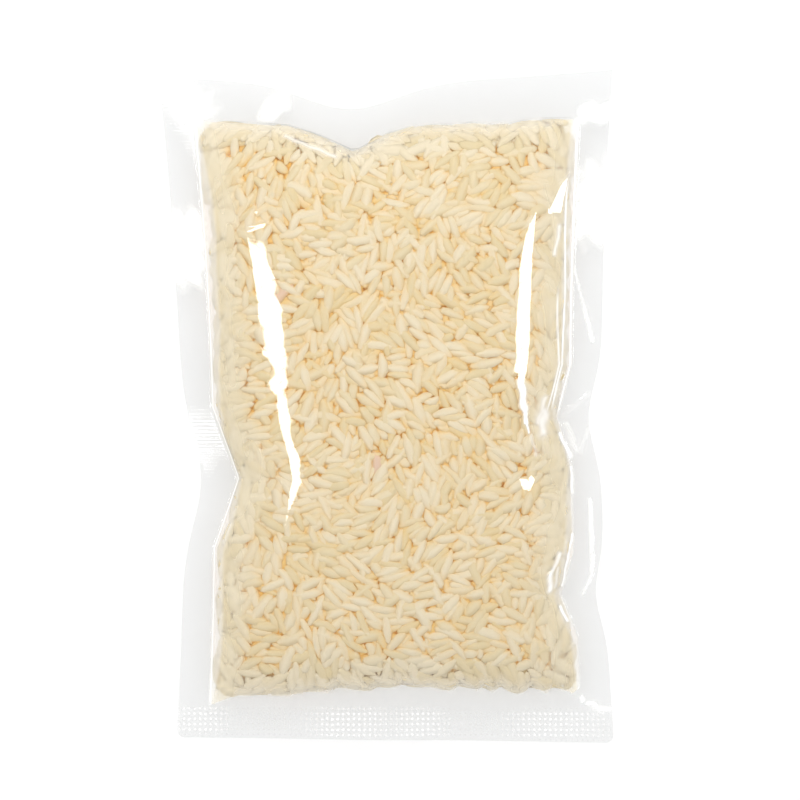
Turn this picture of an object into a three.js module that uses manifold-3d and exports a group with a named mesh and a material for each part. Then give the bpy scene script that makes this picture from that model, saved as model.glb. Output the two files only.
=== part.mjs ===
// A clear vacuum pouch packed with konjac rice, lying on its back.
// Millimetres. X runs across the pouch, Y runs up to its top seal and Z is up.
// The origin is under the middle of the pouch, on the surface it lies on.
// Two sheets of film are welded together in a flat border all round. Inside
// the border the rice fills the pouch tight: it stands on a flat underside and
// crowns above the border, and its grains stand out through the film.
import * as THREE from "three";
import { mergeVertices } from "three/addons/utils/BufferGeometryUtils.js";
import Module from "manifold-3d";

// Driving dimensions
const pouch = {
  halfWidth: 60.2,
  halfLength: 88.7,
  sealHeight: 6, // of the welded border above the surface
  filmPair: 0.5, // the two welded sheets together
  crown: 13.2, // of the grains' tops above the border
  cornerRound: 2.2, // of the two bottom corners
};
// How squarely each sheet domes across and along: 2 is round, more is boxier.
const squareness = { upper: [2.6, 5.5], lower: [8, 14] };
const flatShare = 1.2; // the lower sheet would dome this far past the surface, and is flat there
const grain = {
  length: 8.8, // of a whole one, whose ends and sides are sunk in the sheet
  width: 4,
  thickness: 2.9,
  relief: 0.9, // how far a grain stands out
  sink: 0.25, // how much deeper some lie than others
  tries: 40000,
  apart: 2.9, // between the middle lines of neighbours
  turn: 0.8, // radians that a grain may turn off the swirl it lies in
  unlike: 0.14, // share by which lengths vary
  reachAcross: 0.93, // shares of the rice's half sizes that the grains cover
  reachAlong: 0.95,
  seed: 12,
};

// The four edges of the film. Each runs straight between two corners, is bowed
// inwards by the vacuum and is drawn in further where it puckers. At a pucker
// the rice is drawn in to a point, within its own reach.
const corner = {
  topLeft: [-59.9, 86.9],
  topRight: [59.9, pouch.halfLength],
  bottomRight: [pouch.halfWidth, -pouch.halfLength],
  bottomLeft: [-55, -87.4],
};
const edges = {
  left: {
    from: corner.bottomLeft, to: corner.topLeft, along: 1, inwards: 1, bow: 3.7, seal: 8.3,
    puckers: [{ at: -19, film: 4.7, filmReach: 16.5, rice: 6.4, riceReach: 18.5 }],
  },
  right: {
    from: corner.bottomRight, to: corner.topRight, along: 1, inwards: -1, bow: 3.1, seal: 8.2,
    puckers: [
      { at: -3, film: 3.4, filmReach: 12, rice: 3.6, riceReach: 14 },
      { at: -49.5, film: 2.5, filmReach: 10, rice: 3.9, riceReach: 11 },
    ],
  },
  bottom: {
    from: corner.bottomLeft, to: corner.bottomRight, along: 0, inwards: 1, bow: 0, seal: 11.6,
    puckers: [{ at: 15, film: 0, filmReach: 1, rice: 2.2, riceReach: 60 }],
  },
  top: {
    from: corner.topLeft, to: corner.topRight, along: 0, inwards: -1, bow: 2.5, seal: 11.3,
    puckers: [{ at: -9.5, film: 6.9, filmReach: 17, rice: 6.7, riceReach: 16 }],
  },
};
// The border is ruffled: outwards of the rice it swings up and down.
const ruffle = { height: 1.6, waves: 7, turn: 0.8, rise: 5 };

// Lines of the net that both sheets are drawn on, as shares of the rice's half
// sizes. They are close where the flanks are steep, and one runs to each pucker.
const linesAcross = [
  -1, -0.96, -0.87, -0.74, -0.56, -0.36, -0.17, 0.02,
  0.21, 0.4, 0.58, 0.74, 0.87, 0.96, 1,
];
const linesAlong = [
  -1, -0.96, -0.88, -0.76, -0.63, -0.5, -0.37, -0.24, -0.145, -0.05,
  0.08, 0.22, 0.37, 0.52, 0.66, 0.79, 0.89, 0.96, 1,
];

const { clamp, lerp } = THREE.MathUtils;

// Where an edge lies at a place along it: the film's own edge, or the rice's.
function edgeAt(edge, place, rice) {
  const across = 1 - edge.along;
  const [a, b] = [edge.from, edge.to];
  const share = clamp((place - a[edge.along]) / (b[edge.along] - a[edge.along]), 0, 1);
  let inset = edge.bow * 4 * share * (1 - share) + (rice ? edge.seal : 0);
  for (const pucker of edge.puckers) {
    const away = Math.abs(place - pucker.at);
    inset += rice
      ? pucker.rice * Math.max(0, 1 - away / pucker.riceReach)
      : pucker.film * Math.exp(-((away / pucker.filmReach) ** 2));
  }
  return lerp(a[across], b[across], share) + edge.inwards * inset;
}

// Turns shares u and v, each from -1 to 1 across and along, into a point.
function pointAt(u, v, rice) {
  let x = u * pouch.halfWidth;
  let y = v * pouch.halfLength;
  for (let pass = 0; pass < 6; pass++) {
    const fromY = y;
    y = lerp(edgeAt(edges.bottom, x, rice), edgeAt(edges.top, x, rice), (v + 1) / 2);
    x = lerp(edgeAt(edges.left, fromY, rice), edgeAt(edges.right, fromY, rice), (u + 1) / 2);
  }
  return new THREE.Vector2(x, y);
}

// A point of the film's outline, moved onto the arc if it is in a round corner.
function outlinePoint(u, v) {
  const point = pointAt(u, v, false);
  for (const [x, y] of [corner.bottomLeft, corner.bottomRight]) {
    const r = pouch.cornerRound;
    const middle = new THREE.Vector2(x - Math.sign(x) * r, y + r);
    if ((point.x - middle.x) * Math.sign(x) > 0 && point.y < middle.y) {
      point.sub(middle).setLength(r).add(middle);
    }
  }
  return point;
}

// The reverse, for a point: how far across and along the rice it lies.
function sharesOf(x, y) {
  const left = edgeAt(edges.left, y, true);
  const right = edgeAt(edges.right, y, true);
  const bottom = edgeAt(edges.bottom, x, true);
  const top = edgeAt(edges.top, x, true);
  return [(2 * (x - left)) / (right - left) - 1, (2 * (y - bottom)) / (top - bottom) - 1];
}

// 1 in the middle of the rice, falling to 0 at its edge.
function dome(u, v, [across, along]) {
  const side = Math.max(0, 1 - Math.abs(u) ** across);
  const end = Math.max(0, 1 - Math.abs(v) ** along);
  return Math.sqrt(side * end);
}

// Heights of the middle of the border, and of the two sheets.
function borderHeight(x, y) {
  const [u, v] = sharesOf(x, y);
  const out = clamp((Math.max(Math.abs(u), Math.abs(v)) - 1) * ruffle.rise, 0, 1);
  const angle = Math.atan2(y / pouch.halfLength, x / pouch.halfWidth);
  return pouch.sealHeight + ruffle.height * out * Math.sin(ruffle.waves * angle + ruffle.turn);
}
function upperHeight(x, y) {
  const [u, v] = sharesOf(x, y);
  const crown = (pouch.crown - grain.relief) * dome(u, v, squareness.upper);
  return borderHeight(x, y) + pouch.filmPair / 2 + crown;
}
function lowerHeight(x, y) {
  const [u, v] = sharesOf(x, y);
  const belly = Math.min(1, flatShare * dome(u, v, squareness.lower));
  return (borderHeight(x, y) - pouch.filmPair / 2) * (1 - belly);
}

// Both sheets and the narrow edge between them: a thin box whose net is bent
// to the pouch. Its outermost lines are the film's outline, and the next ones
// are the rice's edge.
function pouchGeometry() {
  const [us, vs] = [linesAcross, linesAlong];
  const box = new THREE.BoxGeometry(us.length + 1, vs.length + 1, 1, us.length + 1, vs.length + 1, 1);
  const position = box.attributes.position;
  for (let k = 0; k < position.count; k++) {
    const i = Math.round(position.getX(k) + (us.length + 1) / 2) - 1;
    const j = Math.round(position.getY(k) + (vs.length + 1) / 2) - 1;
    const [u, v] = [us[clamp(i, 0, us.length - 1)], vs[clamp(j, 0, vs.length - 1)]];
    const isOutline = i < 0 || j < 0 || i === us.length || j === vs.length;
    const { x, y } = isOutline ? outlinePoint(u, v) : pointAt(u, v, true);
    position.setXYZ(k, x, y, position.getZ(k) > 0 ? upperHeight(x, y) : lowerHeight(x, y));
  }
  return box;
}

// A seeded draw from 0 to 1.
function makeDraw(seed) {
  let state = seed;
  return () => {
    state = (state * 1664525 + 1013904223) % 4294967296;
    return state / 4294967296;
  };
}

// Shortest distance between two grains' middle lines, tested from three points of each.
function gapBetween(a, b) {
  let least = Infinity;
  for (const [p, q] of [[a, b], [b, a]]) {
    for (const end of [-1, 0, 1]) {
      const from = p.middle.clone().addScaledVector(p.direction, end * p.half).sub(q.middle);
      const t = clamp(from.dot(q.direction), -q.half, q.half);
      least = Math.min(least, from.addScaledVector(q.direction, -t).length());
    }
  }
  return least;
}

// The way that grains lie at a place: the packing swirls slowly.
const swirlAt = (x, y) => 1.3 * Math.sin(x / 19 + 0.7) + 1.5 * Math.cos(y / 23 - 0.4);

// The upper sheet's outward normal.
function upperNormal(x, y) {
  const step = 0.5;
  const riseX = upperHeight(x + step, y) - upperHeight(x - step, y);
  const riseY = upperHeight(x, y + step) - upperHeight(x, y - step);
  return new THREE.Vector3(-riseX, -riseY, 2 * step).normalize();
}

// Grains laid at random on the upper sheet until hardly one more fits, each
// flat against it and roughly along the swirl.
function scatterGrains() {
  const draw = makeDraw(grain.seed);
  const either = () => 2 * draw() - 1;
  const laid = [];
  for (let i = 0; i < grain.tries; i++) {
    const { x, y } = pointAt(grain.reachAcross * either(), grain.reachAlong * either(), true);
    const angle = swirlAt(x, y) + grain.turn * either();
    const length = grain.length * (1 + grain.unlike * either());
    const sink = grain.sink * draw();
    const middle = new THREE.Vector3(x, y, upperHeight(x, y));
    const normal = upperNormal(x, y);
    const level = new THREE.Vector3(Math.cos(angle), Math.sin(angle), 0);
    const direction = level.addScaledVector(normal, -level.dot(normal)).normalize();
    const next = { middle, normal, direction, length, sink, half: (length - grain.apart) / 2 };
    const clear = laid.every(
      (other) =>
        Math.abs(other.middle.x - x) > grain.length ||
        Math.abs(other.middle.y - y) > grain.length ||
        gapBetween(next, other) > grain.apart,
    );
    if (clear) laid.push(next);
  }
  return laid;
}

// One grain: a four-sided spindle, sunk so that a low ridge stands out.
function grainGeometry({ middle, normal, direction, length, sink }) {
  const spindle = new THREE.SphereGeometry(1, 4, 3);
  spindle.scale(grain.width / 2, length / 2, grain.thickness / 2);
  const aside = new THREE.Vector3().crossVectors(direction, normal);
  const place = new THREE.Matrix4().makeBasis(aside, direction, normal);
  const ridge = (grain.thickness / 2) * Math.sin(Math.PI / 3); // a ring's height, a third of the way round
  const depth = ridge - grain.relief + sink;
  place.setPosition(middle.clone().addScaledVector(normal, -depth));
  return spindle.applyMatrix4(place);
}

// Booleans: a closed geometry as a solid, and a solid as a geometry.
const wasm = await Module();
wasm.setup();
function solidOf(geometry) {
  geometry.deleteAttribute("normal");
  geometry.deleteAttribute("uv");
  const merged = mergeVertices(geometry, 0.001);
  return new wasm.Manifold(
    new wasm.Mesh({
      numProp: 3,
      vertProperties: new Float32Array(merged.attributes.position.array),
      triVerts: new Uint32Array(merged.index.array),
    }),
  );
}
function geometryOf(solid) {
  const made = solid.getMesh();
  const geometry = new THREE.BufferGeometry();
  geometry.setAttribute("position", new THREE.BufferAttribute(made.vertProperties, 3));
  geometry.setIndex(new THREE.BufferAttribute(made.triVerts, 1));
  geometry.computeVertexNormals();
  return geometry;
}

const riceInFilm = new THREE.MeshStandardMaterial({ color: 0xeeddb5, roughness: 0.35, metalness: 0 });

let bagSolid = solidOf(pouchGeometry());
for (const laid of scatterGrains()) bagSolid = bagSolid.add(solidOf(grainGeometry(laid)));

const riceBag = new THREE.Mesh(geometryOf(bagSolid), riceInFilm);
riceBag.name = "rice_bag";

const bag = new THREE.Group();
bag.add(riceBag);

export default bag;
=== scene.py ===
import math

import bmesh
import bpy
import numpy as np
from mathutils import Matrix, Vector


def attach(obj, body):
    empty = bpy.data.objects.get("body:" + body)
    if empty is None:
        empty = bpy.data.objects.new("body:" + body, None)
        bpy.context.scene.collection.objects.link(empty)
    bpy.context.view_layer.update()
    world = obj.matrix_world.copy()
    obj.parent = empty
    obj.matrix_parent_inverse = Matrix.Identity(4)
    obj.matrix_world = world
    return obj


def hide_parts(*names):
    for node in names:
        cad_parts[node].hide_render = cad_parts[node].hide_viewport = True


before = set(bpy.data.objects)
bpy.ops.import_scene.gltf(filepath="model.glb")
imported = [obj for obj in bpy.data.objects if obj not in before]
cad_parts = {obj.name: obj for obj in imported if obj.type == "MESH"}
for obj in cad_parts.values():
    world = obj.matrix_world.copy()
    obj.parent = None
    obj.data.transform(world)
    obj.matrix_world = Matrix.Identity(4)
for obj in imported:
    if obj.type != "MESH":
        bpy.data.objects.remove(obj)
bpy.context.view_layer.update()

# A clear vacuum pouch of konjac rice, lying on its back and seen from above.
# Sizes are in millimetres, and become metres where a mesh or a lamp is made.
mm = 0.001

# The pouch, shaped by the same values as its CAD solid.
pouch = {"halfWidth": 60.2, "halfLength": 88.7, "sealHeight": 6.0, "crown": 13.2}
squareness = {"upper": (2.6, 5.5), "lower": (8.0, 14.0)}  # 2 is a round dome, more is boxier
flatShare = 1.2  # the underside would dome this far past the table, and is flat there
puckerFade = 4  # how soon a pucker dies out towards the middle
rounds = 6  # of working out x from y and y from x
farOff = 99.0  # further than anything lies
chartHalf = (63.0, 91.5)  # a little past the pouch
topLeft = (-59.9, 86.9)
topRight = (59.9, pouch["halfLength"])
bottomRight = (pouch["halfWidth"], -pouch["halfLength"])
bottomLeft = (-55.0, -87.4)
# Puckers draw the edges in: the film's line round, the rice's to a point. A fringe
# is the rice's uneven line: how far inside its plain line it lies, at places along it.
edges = {
    "left": {
        "start": bottomLeft, "end": topLeft, "along": 1, "inwards": 1, "bow": 3.7, "seal": 8.3,
        "puckers": [{"at": -19, "film": 4.7, "filmReach": 16.5, "rice": 6.4, "riceReach": 18.5}],
    },
    "right": {
        "start": bottomRight, "end": topRight, "along": 1, "inwards": -1, "bow": 3.1, "seal": 8.2,
        "puckers": [
            {"at": -3, "film": 3.4, "filmReach": 12, "rice": 3.6, "riceReach": 14},
            {"at": -49.5, "film": 2.5, "filmReach": 10, "rice": 3.9, "riceReach": 11},
        ],
    },
    "bottom": {
        "start": bottomLeft, "end": bottomRight, "along": 0, "inwards": 1, "bow": 0, "seal": 11.6,
        "puckers": [{"at": 15, "film": 0, "filmReach": 1, "rice": 2.2, "riceReach": 60}],
        "fringe": [
            (-45.0, -2.6), (-39.4, -0.7), (-34.4, -0.7), (-32.0, -0.2), (-31.2, -0.6), (-24.8, -1.1),
            (-24.0, -0.2), (-21.8, -0.5), (-20.8, 0.2), (-14.6, -0.3), (-13.2, 1.0), (-4.3, -0.3),
            (-2.7, 0.9), (2.8, 0.3), (3.8, 1.2), (11.2, 0.3), (17.3, -0.7), (19.4, 1.2), (24.4, -0.2),
            (25.7, 1.5), (28.2, -0.4), (30.2, 1.5), (32.8, -0.1), (34.9, -0.5), (36.6, 0.2), (38.1, 1.7),
            (42.4, 0.0), (44.4, 2.1), (46.8, 0.8), (49.4, 0.4), (51.4, 2.4),
        ],
    },
    "top": {
        "start": topLeft, "end": topRight, "along": 0, "inwards": -1, "bow": 2.5, "seal": 11.3,
        "puckers": [{"at": -9.5, "film": 6.9, "filmReach": 17, "rice": 6.7, "riceReach": 16}],
        "fringe": [
            (-48.9, -0.4), (-34.2, -0.1), (-25.0, 0.2), (-21.5, -0.3), (-15.3, -0.7), (-10.2, -0.4),
            (-7.2, 0.7), (-4.2, 0.3), (0.1, -0.3), (3.8, 0.3), (8.2, 0.5), (12.5, 0.2), (17.3, 0.4),
            (22.0, 0.1), (27.4, 0.7), (30.2, 0.5), (33.1, 0.9), (36.0, 0.4), (41.0, 0.2), (50.0, 0.7),
        ],
    },
}
ruffle = {"height": 1.6, "waves": 7, "turn": 0.8, "rise": 5}  # of the border, up and down
# The film over the rice swells and dips a little: height of one wave, and its length.
swell = {"height": 0.005, "long": 9.0}
# Broad low ridges in the crown, each along a line.
ridges = [
    {"start": (14.0, 2.0), "end": (46.0, 2.0), "wide": 13.0, "high": 0.9},
    {"start": (-44.0, -20.0), "end": (-22.0, -20.0), "wide": 12.0, "high": 0.4},
]


def mix(a, b, share):
    return a + (b - a) * share


def smoothStep(low, high, value):
    share = np.clip((value - low) / (high - low), 0, 1)
    return share * share * (3 - 2 * share)


# 1 on a line from one place to another, falling off within its width on both sides.
def nearness(line, x, y):
    (startX, startY), (endX, endY) = line["start"], line["end"]
    long = math.hypot(endX - startX, endY - startY)
    alongX, alongY = (endX - startX) / long, (endY - startY) / long
    share = np.clip((x - startX) * alongX + (y - startY) * alongY, 0, long)
    away = np.hypot(x - startX - share * alongX, y - startY - share * alongY)
    return np.exp(-((away / line["wide"]) ** 2))


# Where an edge lies at places along it: the film's own edge, or the rice's.
def edgeAt(name, place, rice, drawnIn=1):
    edge = edges[name]
    along, across = edge["along"], 1 - edge["along"]
    start, end = edge["start"], edge["end"]
    share = np.clip((place - start[along]) / (end[along] - start[along]), 0, 1)
    inset = edge["bow"] * 4 * share * (1 - share) + (edge["seal"] if rice else 0)
    for pucker in edge["puckers"]:
        away = np.abs(place - pucker["at"])
        if rice:
            inset = inset + drawnIn * pucker["rice"] * np.maximum(0, 1 - away / pucker["riceReach"])
        else:
            inset = inset + pucker["film"] * np.exp(-((away / pucker["filmReach"]) ** 2))
    if rice and "fringe" in edge:
        inset = inset + drawnIn * np.interp(place, *zip(*edge["fringe"]))
    return mix(start[across], end[across], share) + edge["inwards"] * inset


# Turns shares u and v, each from -1 to 1 across and along the rice, into points.
def pointAt(u, v):
    x, y = u * pouch["halfWidth"], v * pouch["halfLength"]
    for _ in range(rounds):
        fromY = y
        y = mix(edgeAt("bottom", x, True), edgeAt("top", x, True), (v + 1) / 2)
        x = mix(edgeAt("left", fromY, True), edgeAt("right", fromY, True), (u + 1) / 2)
    return x, y


# The reverse.
def sharesOf(x, y, drawnIn=1):
    left, right = edgeAt("left", y, True, drawnIn), edgeAt("right", y, True, drawnIn)
    bottom, top = edgeAt("bottom", x, True, drawnIn), edgeAt("top", x, True, drawnIn)
    return 2 * (x - left) / (right - left) - 1, 2 * (y - bottom) / (top - bottom) - 1


def dome(u, v, powers):
    side = np.maximum(0, 1 - np.abs(u) ** powers[0])
    end = np.maximum(0, 1 - np.abs(v) ** powers[1])
    return np.sqrt(side * end)


# The heights of the welded border and of the two sheets.
def borderHeight(x, y):
    u, v = sharesOf(x, y)
    out = np.clip((np.maximum(np.abs(u), np.abs(v)) - 1) * ruffle["rise"], 0, 1)
    angle = np.arctan2(y / pouch["halfLength"], x / pouch["halfWidth"])
    wave = np.sin(ruffle["waves"] * angle + ruffle["turn"])
    return pouch["sealHeight"] + ruffle["height"] * out * wave


def upperHeight(x, y):
    u, v = sharesOf(x, y)
    plainU, plainV = sharesOf(x, y, 0)
    near = np.clip(np.maximum(np.abs(u), np.abs(v)), 0, 1) ** puckerFade
    shape = dome(mix(plainU, u, near), mix(plainV, v, near), squareness["upper"])
    crown = pouch["crown"] + swellAt(x, y)
    for ridge in ridges:
        crown = crown + ridge["high"] * nearness(ridge, x, y)
    return borderHeight(x, y) + crown * shape


def lowerHeight(x, y):
    u, v = sharesOf(x, y)
    belly = np.minimum(1, flatShare * dome(u, v, squareness["lower"]))
    return borderHeight(x, y) * (1 - belly)


# A few waves of different lengths and ways, added up.
def swellAt(x, y):
    total = 0
    for k, (stretch, turn) in enumerate(((1, 0.3), (0.83, 1.4), (1.27, 2.3), (0.71, 0.9), (1.6, 2.9))):
        along = (x * math.cos(turn) + y * math.sin(turn)) / (swell["long"] * stretch)
        total = total + stretch * np.sin(2 * math.pi * along + 1.7 * k + np.sin(along * 1.9 + k))
    return swell["height"] * total


# How far inside each side of the rice's outline a point is: outside it is below 0.
def insideBy(x, y):
    return {
        "left": x - edgeAt("left", y, True),
        "right": edgeAt("right", y, True) - x,
        "bottom": y - edgeAt("bottom", x, True),
        "top": edgeAt("top", x, True) - y,
    }


def nearest(sides):
    return np.minimum.reduce(list(sides.values()))


def unit(vectors):
    return vectors / np.linalg.norm(vectors, axis=1, keepdims=True)


# Values on a square grid over the whole pouch, to read between its points.
class Chart:
    def __init__(self, pitch):
        self.pitch = pitch
        self.low = -np.array(chartHalf)
        self.shape = tuple(int(2 * half / pitch) + 2 for half in chartHalf)
        x, y = (self.low[k] + pitch * np.arange(self.shape[k]) for k in (0, 1))
        self.x, self.y = np.meshgrid(x, y, indexing="ij")

    def read(self, layers, x, y):
        across = np.clip((x - self.low[0]) / self.pitch, 0, self.shape[0] - 1.001)
        along = np.clip((y - self.low[1]) / self.pitch, 0, self.shape[1] - 1.001)
        i, j = across.astype(int), along.astype(int)
        across, along = across - i, along - j
        return [
            mix(mix(layer[i, j], layer[i + 1, j], across),
                mix(layer[i, j + 1], layer[i + 1, j + 1], across), along)
            for layer in layers
        ]


def hexColour(code):
    channels = [int(code[k:k + 2], 16) / 255 for k in (1, 3, 5)]
    return tuple(c / 12.92 if c <= 0.04045 else ((c + 0.055) / 1.055) ** 2.4 for c in channels) + (1,)


# Adds a shader node, with settings for its properties and sockets, and links.
def addNode(tree, kind, settings=None, inputs=None):
    node = tree.nodes.new("ShaderNode" + kind)
    for name, value in (settings or {}).items():
        setattr(node, name, value)
    for name, value in (inputs or {}).items():
        if isinstance(value, bpy.types.NodeSocket):
            tree.links.new(value, node.inputs[name])
        else:
            node.inputs[name].default_value = value
    return node


def newMaterial(name):
    material = bpy.data.materials.new(name)
    material.use_nodes = True
    material.node_tree.nodes.clear()
    return material, material.node_tree


def newObject(name, data):
    piece = bpy.data.objects.new(name, data)
    bpy.context.collection.objects.link(piece)
    return piece


def newSurface(name, mesh, material):
    for face in mesh.polygons:
        face.use_smooth = True
    mesh.materials.append(material)
    return newObject(name, mesh)


def meshFrom(bm, name):
    mesh = bpy.data.meshes.new(name)
    bm.to_mesh(mesh)
    bm.free()
    return mesh


# A piece of the bag: it rides on its one body, and stands for its one solid.
def newPiece(name, mesh, material):
    piece = newSurface(name, mesh, material)
    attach(piece, "root")
    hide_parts("rice_bag")
    print("made", name, sum(len(face.vertices) - 2 for face in mesh.polygons), "triangles")


# Values for the materials to read: one for each point of a mesh, or one for all.
def setAttributes(mesh, **layers):
    for name, values in layers.items():
        layer = mesh.attributes.new(name, "FLOAT", "POINT")
        layer.data.foreach_set("value", np.zeros(len(mesh.vertices)) + np.ravel(values))


# Rice. Each grain is a row of balls between two ends. Passes push balls that
# overlap apart, and hold all of them between the film, the core and the outline.
# Drawn grains are a little fatter than their balls, so that neighbours press
# into each other and only thin creases stay between them.
grain = {
    "count": 4150, "seed": 7, "length": 8.4, "lengthSpread": 0.2,
    "brokenShare": 0.08, "brokenTo": (0.55, 0.75),
    "ball": 1.0, "ballShares": (0.8, 1.0, 1.0, 0.8), "spread": (0.96, 0.98),
    "upperShare": 0.78, "shell": 4.0, "offSheet": 1.2, "lowDepth": 0.35,
    "turn": 0.7, "rim": 4.0, "rimTurn": 0.5, "lift": 0.16,
    "width": 3.1, "thickness": 2.6, "sizeSpread": 0.2, "segments": 6, "rings": 5,
    "pointed": -0.38, "blunt": 0.2, "tip": 0.6, "bend": 0.42, "lumps": 0.08, "tilt": 0.22,
    "squeeze": 0.5, "squeezeTo": 2.6, "pressed": 0.4,
    "shallow": 0.35, "shallowFrom": 10, "shallowTo": 3,
}
# The passes: how firmly balls are moved, and how far one pass may move them.
packing = {
    "passes": 170, "pairsEvery": 8, "pairsReach": 0.5, "grip": 0.65, "crowd": 1.5,
    "hug": 0.86, "step": 0.6, "upperFrom": 0.42, "upperLeast": 3.4, "rise": 0.02, "rimRoom": 0.46,
}
steepest = 3.0  # slopes of the sheets count as no steeper than this


# How far inside the rims the grains stop. Beside the long rims the film lies empty
# for a few millimetres, given here at places along the bag.
clearances = {
    "left": [
        (-79, 0.0), (-74, 1.2), (-64, 2.4), (-38, 2.2), (-30, 2.4), (-21, 1.0), (-16, 0.0), (-7, 0.0),
        (-3, 1.8), (8, 1.8), (20, 2.6), (36, 2.6), (48, 3.2), (65, 1.5), (76, 0.0),
    ],
    "right": [
        (-79, 0.2), (-72, 0.5), (-56, 1.8), (-47, 1.2), (-40, 2.6), (-35, 1.8), (-21, 1.0), (-13, 0.0),
        (-7, 0.5), (2, 2.0), (30, 2.6), (60, 2.4), (73, 1.6), (78, 0.6),
    ],
    "bottom": [(0, -0.2)],
    "top": [(0, 0.1)],
}


# How far inside the rice's rims a point is, less what lies empty beside each.
def clearOf(x, y, inside):
    return {
        name: inside[name] - np.interp(y if name in ("left", "right") else x, *zip(*places))
        for name, places in clearances.items()
    }


# The way that grains lie at a place: the packing swirls slowly.
def swirlAt(x, y):
    return 1.3 * np.sin(x / 19 + 0.7) + 1.5 * np.cos(y / 23 - 0.4)


# Every pair of points within reach of each other, found through a grid of cells.
def closePairs(points, reach):
    cell = np.floor((points - points.min(0)) / reach).astype(np.int64) + 1
    size = cell.max(0) + 2
    key = (cell[:, 0] * size[1] + cell[:, 1]) * size[2] + cell[:, 2]
    order = np.argsort(key, kind="stable")
    key = key[order]
    place = np.arange(len(order))
    firsts, seconds = [], []
    for dx in (-1, 0, 1):
        for dy in (-1, 0, 1):
            for dz in (-1, 0, 1):
                step = (dx * size[1] + dy) * size[2] + dz
                if step < 0:
                    continue
                start = np.searchsorted(key, key + step, "left") if step else place + 1
                stop = np.searchsorted(key, key + step, "right")
                many = np.maximum(stop - start, 0)
                within = np.arange(many.sum()) - np.repeat(np.cumsum(many) - many, many)
                firsts.append(order[np.repeat(place, many)])
                seconds.append(order[np.repeat(start, many) + within])
    first, second = np.concatenate(firsts), np.concatenate(seconds)
    near = ((points[first] - points[second]) ** 2).sum(1) < reach * reach
    return first[near], second[near]


# What the packing reads at a place: both sheets' heights and slopes, and the rim.
def packingLayers(chart):
    upper, lower = upperHeight(chart.x, chart.y), lowerHeight(chart.x, chart.y)
    inside = insideBy(chart.x, chart.y)
    clear = clearOf(chart.x, chart.y, inside)
    room = nearest(clear) - packing["rimRoom"] * grain["width"]
    return [upper, *np.gradient(upper, chart.pitch), lower, *np.gradient(lower, chart.pitch), room]


def layGrains(draw, chart, layers):
    count = grain["count"]
    length = grain["length"] * (1 + grain["lengthSpread"] * draw.uniform(-1, 1, count))
    broken = draw.uniform(0, 1, count) < grain["brokenShare"]
    length = np.where(broken, length * draw.uniform(*grain["brokenTo"], count), length)
    x, y = pointAt(*(draw.uniform(-share, share, count) for share in grain["spread"]))
    top, slopeX, slopeY, bottom = chart.read(layers[:4], x, y)
    isUpper = draw.uniform(0, 1, count) < grain["upperShare"]
    endBall = grain["ballShares"][0] * grain["ball"]
    depth = draw.uniform(grain["ball"], grain["shell"] - endBall, count)
    off = grain["offSheet"]
    upper = np.maximum(top - depth, bottom + off)
    lower = np.minimum(bottom + off + grain["lowDepth"] * depth, top - off)
    # beside the long rims grains lie along them
    inside = insideBy(x, y)
    atSide = np.minimum(inside["left"], inside["right"]) < grain["rim"]
    angle = np.where(atSide, math.pi / 2, swirlAt(x, y))
    angle += draw.normal(0, 1, count) * grain["turn"] * np.where(atSide, grain["rimTurn"], 1)
    lift = np.where(isUpper, slopeX * np.cos(angle) + slopeY * np.sin(angle), 0)
    lift = np.clip(lift, -steepest / 2, steepest / 2) + draw.normal(0, grain["lift"], count)
    toward = unit(np.stack([np.cos(angle), np.sin(angle), lift], 1))
    middle = np.stack([x, y, np.where(isUpper, upper, lower)], 1)
    half = (length - 2 * endBall) / 2
    return np.stack([middle - toward * half[:, None], middle + toward * half[:, None]]), half, length


def scattered(owner, values, count):
    return np.stack([np.bincount(owner, values[:, k], count) for k in range(3)], 1)


def packGrains(draw, chart, layers):
    ends, half, length = layGrains(draw, chart, layers)
    count, balls = grain["count"], len(grain["ballShares"])
    radius = np.tile(grain["ball"] * np.array(grain["ballShares"]), count)
    owner = np.repeat(np.arange(count), balls)
    shareB = np.tile(np.linspace(0, 1, balls), count)[:, None]
    shareA = 1 - shareB
    grip = packing["grip"] / (shareA ** 2 + shareB ** 2)
    for k in range(packing["passes"]):
        points = ends[0][owner] * shareA + ends[1][owner] * shareB
        if k % packing["pairsEvery"] == 0:
            first, second = closePairs(points, 2 * grain["ball"] + packing["pairsReach"])
            other = owner[first] != owner[second]
            first, second = first[other], second[other]
        apart = points[first] - points[second]
        distance = np.sqrt((apart ** 2).sum(1)) + 1e-6
        over = np.maximum(radius[first] + radius[second] - distance, 0)
        push = apart * (0.5 * over / distance)[:, None]
        met = np.bincount(first, over > 0, len(points)) + np.bincount(second, over > 0, len(points))
        moved = scattered(first, push, len(points)) - scattered(second, push, len(points))
        moved *= (packing["crowd"] / np.maximum(met, packing["crowd"]))[:, None]
        moved += heldIn(points, radius, chart, layers)
        for end, share in zip(ends, (shareA, shareB)):
            end += scattered(owner, moved * share * grip, count)
        line = ends[1] - ends[0]
        longer = np.linalg.norm(line, axis=1)
        fix = line * ((longer - 2 * half) / longer / 2)[:, None]
        ends[0] += fix
        ends[1] -= fix
    return ends, length


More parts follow.
